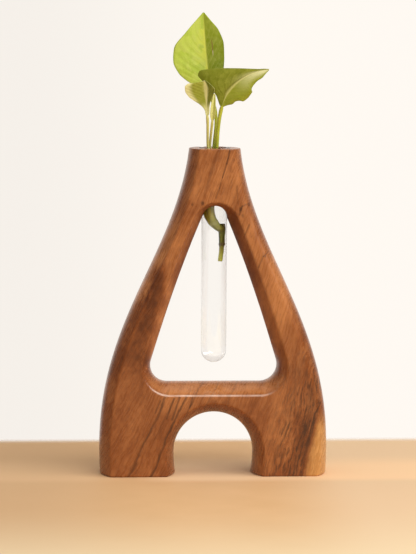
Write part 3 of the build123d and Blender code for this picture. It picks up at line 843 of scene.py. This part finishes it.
def vine_stem():
    """The cut stem: thin below the scar, a swollen ring at it, thicker above and swollen again at the node,
    with soft ridges and a slight sway."""
    share = np.linspace(0, 1, stem_rows)
    height = vine_tail + (vine_head - vine_tail) * share
    sway = vine_wobble * np.sin(share * vine_wobble_turn) - vine_tail_lean * (1 - share) ** 2
    path = np.stack([vine_right + sway, np.full_like(share, vine_back), height], -1)
    above_scar = 1 / (1 + np.exp(-(height - vine_scar) / thicker_length))
    radius = vine_thin + vine_thicker * above_scar + scar_swell * hump(height, vine_scar, scar_length)
    radius += node_swell * hump(height, vine_node, node_length)
    radius *= 1 - vine_end_round * (near_end(share, vine_end_share) + near_end(1 - share, vine_end_share))
    rings, marks = stem_rings(path, radius, around=48, relief=vine_ridges)
    dress(skin("vine_stem", rings, vine_bark(), marks), "cutting", "vine")


def sheath_lap(share, angle):
    """The lapped edge of the sheath, winding a little, and fine lines."""
    return 0.05 * hump(angle, 4.2 + 0.5 * share, 0.35) + 0.012 * np.cos(14 * angle)


def vine_shoot():
    """The shoot: out of the node, round to the left and up to the crown, with a ring near its base and a
    lapped sheath down one side."""
    node, crown = (vine_right, vine_back, vine_node), (-crown_lean, 0, crown_height)
    path = route([node, shoot_middle, crown], (-1, -1, 1), (0, 0, 1), stem_rows)
    share = np.linspace(0, 1, stem_rows)
    radius = run(shoot_radii, share)
    radius += shoot_ring_swell * hump(share, shoot_ring_share, shoot_ring_reach)
    radius *= 1 - shoot_end_round * near_end(1 - share, shoot_end_share)
    rings, marks = stem_rings(path, radius, around=56, relief=sheath_lap)
    dress(skin("vine_shoot", rings, shoot_sheath(), marks), "cutting", "vine")


def leaf_frame(leaf, share):
    """Midrib and directions of a leaf at shares of its length: the midrib is an arc that leaves the start
    along ahead and bends toward one side, and right and ahead turn with it about the hinge."""
    lean, nod, toward_angle = (math.radians(angle) for angle in (leaf.lean, leaf.nod, leaf.bend_side))
    right = np.array([math.cos(lean), 0, -math.sin(lean)])
    ahead = np.array([math.cos(nod) * math.sin(lean), -math.sin(nod), math.cos(nod) * math.cos(lean)])
    back = np.cross(ahead, right)
    toward = back * math.cos(toward_angle) + right * math.sin(toward_angle)
    hinge = np.cross(ahead, toward)
    turn = math.radians(leaf.bend) * np.asarray(share, float)[:, None]
    radius = leaf.length / math.radians(leaf.bend)
    start = np.array(leaf.start) + (0, 0, rim_top)
    rib = start + ahead * radius * np.sin(turn) + toward * radius * (1 - np.cos(turn))
    right_here, ahead_here = (
        way * np.cos(turn) + np.cross(hinge, way) * np.sin(turn) + hinge * (hinge @ way) * (1 - np.cos(turn))
        for way in (right, ahead)
    )
    return rib, right_here, np.cross(ahead_here, right_here), ahead_here


def leaf_blade(name, leaf, finish, node, rows=150, half_columns=44):
    """A leaf blade. At a share along and a place across, the middle of the blade lies at midrib + right *
    across * width * cos(fold) - back * abs(across) * width * sin(fold), plus a bow, a waved margin and
    hollows along the side veins; front and back lie half a thickness to each side of it, with the rib
    swelling the back most."""
    share = np.linspace(0, 1, rows)
    across = np.linspace(-1, 1, 2 * half_columns + 1)
    rib, right, back, _ = leaf_frame(leaf, share)
    left_width, right_width = leaf.widths[0] * run(leaf.left, share), leaf.widths[1] * run(leaf.right, share)
    width = np.where(across < 0, left_width[:, None], right_width[:, None])
    fold = np.radians(np.where(across < 0, *leaf.folds))
    out = np.abs(across)
    soft = np.sqrt(out**2 + rib_softness**2) - rib_softness
    fullness = width / max(leaf.widths)
    wave = np.sin(2 * np.pi * leaf.waves * share[:, None] + np.sign(across))
    step = (share[:, None] - out * vein_slant) * vein_count
    level = -soft * width * np.sin(fold)
    level = level - leaf.bow * fullness * np.sin(np.pi * out)
    level = level + leaf.ripple * fullness * out**2 * wave
    level = level + vein_hollow * fullness * np.cos(2 * np.pi * step) * np.sin(np.pi * out) ** 0.5
    middle = (
        rib[:, None]
        + (across * width * np.cos(fold))[..., None] * right[:, None]
        + level[..., None] * back[:, None]
    )
    normal = np.cross(np.gradient(middle, axis=0), np.gradient(middle, axis=1))
    normal = unit(normal + 1e-9 * back[:, None])
    normal *= np.sign((normal * back[:, None]).sum(-1, keepdims=True))
    half = blade_half_thickness * np.sqrt(np.clip(1 - out**10, 0, 1)) + margin_half_thickness
    stalk = leaf.stalk_radius
    swell = stalk * (1 - share[:, None]) ** rib_fade * hump(out * width, 0, rib_reach * stalk)
    front = middle - (half + rib_front_share * swell)[..., None] * normal
    rear = middle + (half + rib_back_share * swell)[..., None] * normal
    rings = np.concatenate([front, rear[:, -2:0:-1]], axis=1)
    marks = {"along": share[:, None], "across": np.concatenate([across, across[-2:0:-1]])[None]}
    dress(skin(name, rings, finish, marks, blade_sharp), "cutting", node)


def stalk_groove(share, angle):
    """A groove down the front that deepens toward the blade, and eight soft ridges."""
    return -0.16 * hump(angle, 4.71, 0.42) * share + 0.012 * np.cos(8 * angle)


def leaf_stalk(name, leaf, finish, node):
    """A stalk: from its seat on the crown through the tube's mouth to the foot of the blade, a little
    thicker under it, with a groove down its front and soft ridges."""
    bearing = math.radians(leaf.bearing)
    seat = (
        stalk_ring_radius * math.cos(bearing) - crown_lean,
        stalk_ring_radius * math.sin(bearing),
        crown_height - stalk_sink,
    )
    mouth = (tube_inner_radius * leaf.mouth[0], tube_inner_radius * leaf.mouth[1], rim_top)
    above = [np.array(point) + (0, 0, rim_top) for point in (leaf.knee, leaf.start) if point is not None]
    ahead = leaf_frame(leaf, [0.0])[3][0]
    path = route([seat, mouth, *above], (0, 0, 1), ahead, stalk_rows)
    share = np.linspace(0, 1, stalk_rows)
    radius = stalk_waist + stalk_collar_swell * hump(share, stalk_collar_share, stalk_collar_reach)
    radius = leaf.stalk_radius * (radius + stalk_waver * np.sin(share * stalk_waver_turn))
    radius *= 1 - stalk_end_round * near_end(1 - share, stalk_end_share)
    rings, marks = stem_rings(path, radius, around=36, relief=stalk_groove)
    dress(skin(name, rings, finish, marks), "cutting", node)


def aim(holder, place, target, roll=0.0):
    """Puts a lamp or the camera at a place, looking at a target, upright but rolled left by some degrees."""
    away = unit(np.subtract(place, target))
    level = unit(np.cross((0, 0, 1), away))
    upright = np.cross(away, level)
    roll = math.radians(roll)
    right = level * math.cos(roll) + upright * math.sin(roll)
    up = upright * math.cos(roll) - level * math.sin(roll)
    turn = np.eye(4)
    turn[:3, 0], turn[:3, 1], turn[:3, 2], turn[:3, 3] = right, up, away, place
    holder.matrix_world = turn.T.tolist()


def pale_floor():
    """A plain floor that ends behind the object: darker at the left as painted shade and paler at the right
    as painted light, paler in a stripe under the object as painted light that lifts its shadow, and paler
    toward the front."""
    paint = Finish("pale_floor")
    x, y, _ = place = paint.place()
    colour = paint.mix(paint.noise(place, floor_cells), floor_brown, floor_tan)
    # Painted shade at the left and painted light at the right, as light falls from the right.
    colour = paint.mix(paint.rise(x, *floor_left) * left_share, colour, left_painted_shade)
    colour = paint.mix(paint.rise(x, *floor_right), colour, right_painted_light)
    # Painted light in a stripe under the object that lifts its shadow.
    stripe = paint.rise(y, *stripe_back) * paint.rise(y, *stripe_front)
    stripe = stripe * (stripe_left_share + paint.rise(x, *stripe_right) * (1 - stripe_left_share))
    colour = paint.mix(stripe, colour, stripe_painted_light)
    colour = paint.mix(paint.rise(y, *floor_front), colour, front_colour)
    inputs = {"Base Color": colour, "Roughness": 0.65, "Specular IOR Level": 0.15}
    board = paint.node("BsdfPrincipled", inputs=inputs)
    bare = paint.node("BsdfTransparent")
    paint.show(paint.node("MixShader", inputs={0: paint.rise(y, *floor_end), 1: board, 2: bare}))
    near, far = -floor_reach, floor_reach
    corners = [(near, near, 0), (far, near, 0), (far, far, 0), (near, far, 0)]
    mesh = bpy.data.meshes.new("floor")
    mesh.from_pydata(corners, [], [(0, 1, 2, 3)])
    mesh.materials.append(paint.block)
    floor = put("floor", mesh)


def white_room():
    """A room that is white where the camera or clear glass shows it and where gloss shows the wall behind, a
    little darker to the camera at the left as painted shade on the backdrop, and dim to all other rays."""
    room = Finish("white_room", "worlds")
    right, back, _ = room.parts(room.node("TexCoord", output="Generated"))
    camera_ray, glossy_ray, clear_ray = (
        room.node("LightPath", output=f"Is {ray} Ray") for ray in ("Camera", "Glossy", "Transmission")
    )
    gloss_wall = room.rise(back, *wall_behind) * glossy_ray
    seen = room.math("MAXIMUM", room.math("MAXIMUM", camera_ray, clear_ray), gloss_wall)
    dim = room_light - glossy_ray * (room_light - gloss_light)
    # Painted shade on the backdrop at the left, for camera rays only.
    strength = dim + seen * (1 - dim) - camera_ray * room.rise(right, *backdrop_shade_left) * backdrop_shade_share
    room.show(room.node("Background", inputs={"Color": (*room_tint, 1.0), "Strength": strength}), "World")
    bpy.context.scene.world = room.block


def soft_lamps():
    """The lamps of the table, each a soft rectangle that looks at the object."""
    for name, place, wide, tall_side, power in lamps:
        lamp = bpy.data.lights.new(name, "AREA")
        lamp.shape = "RECTANGLE"
        lamp.size, lamp.size_y, lamp.energy, lamp.color = wide, tall_side, power, lamp_tint
        aim(put(name, lamp), place, lamp_target)


def photo_camera():
    """A long lens from a little above, turned slightly to the left of the front."""
    azimuth, elevation = math.radians(view_azimuth), math.radians(view_elevation)
    level = math.cos(elevation)
    away = (math.sin(azimuth) * level, -math.cos(azimuth) * level, math.sin(elevation))
    lens = bpy.data.cameras.new("camera")
    lens.sensor_width, lens.lens = sensor_width, lens_length
    camera = put("camera", lens)
    aim(camera, tuple(view_target + np.multiply(away, view_distance)), view_target, view_roll)
    bpy.context.scene.camera = camera


bpy.context.scene.view_settings.view_transform = "Standard"
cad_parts["stand"].material_slots[0].material = satin_wood().block
glass_tube()
tube_water()
vine_stem()
vine_shoot()

green_stalk = stalk_green(
    "green_stalk", skin_colour=(0.6, 0.61, 0.055), thread_and_shade_colour=(0.36, 0.385, 0.02), streak=(0.4, 0.22, 0.1),
    foot=(0.24, 0.28, 0.012),
)
pale_stalk = stalk_green(
    "pale_stalk", skin_colour=(0.8, 0.73, 0.26), thread_and_shade_colour=(0.55, 0.51, 0.13), streak=(0.55, 0.4, 0.17),
    foot=(0.5, 0.49, 0.12),
)
leaf_stalk("tall_leaf_stalk", tall, green_stalk, "tall_stalk")
leaf_stalk("side_leaf_stalk", side, green_stalk, "side_stalk")
leaf_stalk("young_leaf_stalk", young, pale_stalk, "young_stalk")
leaf_stalk("furled_leaf_stalk", furled, pale_stalk, "furled_stalk")

# The right half's darker green is partly the leaf's own colour and partly painted shade.
tall_green = blade_green(
    "tall_leaf_green", left=(0.61, 0.74, 0.1), right=(0.305, 0.405, 0.014), vein=(0.70, 0.75, 0.19),
    rib=(0.78, 0.82, 0.13), edge=(0.22, 0.28, 0.015), extra=tall_marks,
)
side_green = blade_green(
    "side_leaf_green", left=(0.2, 0.225, 0.008), right=(0.285, 0.32, 0.018), vein=(0.42, 0.43, 0.06),
    rib=(0.62, 0.6, 0.19), edge=(0.2, 0.22, 0.012), extra=side_painted_sheen,
)
# The dark right half is painted shade.
young_green = blade_green(
    "young_leaf_green", left=(0.275, 0.3, 0.02), right=(0.125, 0.155, 0.005), vein=(0.46, 0.45, 0.08),
    rib=(0.6, 0.56, 0.17), edge=(0.75, 0.7, 0.26), extra=young_cream,
)
furled_green = blade_green(
    "furled_leaf_green", left=(0.66, 0.64, 0.19), right=(0.5, 0.5, 0.08), vein=(0.8, 0.76, 0.34),
    rib=(0.78, 0.72, 0.3), edge=(0.76, 0.72, 0.28),
)
leaf_blade("tall_leaf_blade", tall, tall_green, "tall_leaf")
leaf_blade("side_leaf_blade", side, side_green, "side_leaf", rows=220)
leaf_blade("young_leaf_blade", young, young_green, "young_leaf", rows=120)
leaf_blade("furled_leaf_blade", furled, furled_green, "furled_leaf", rows=90, half_columns=24)

pale_floor()
white_room()
soft_lamps()
photo_camera()
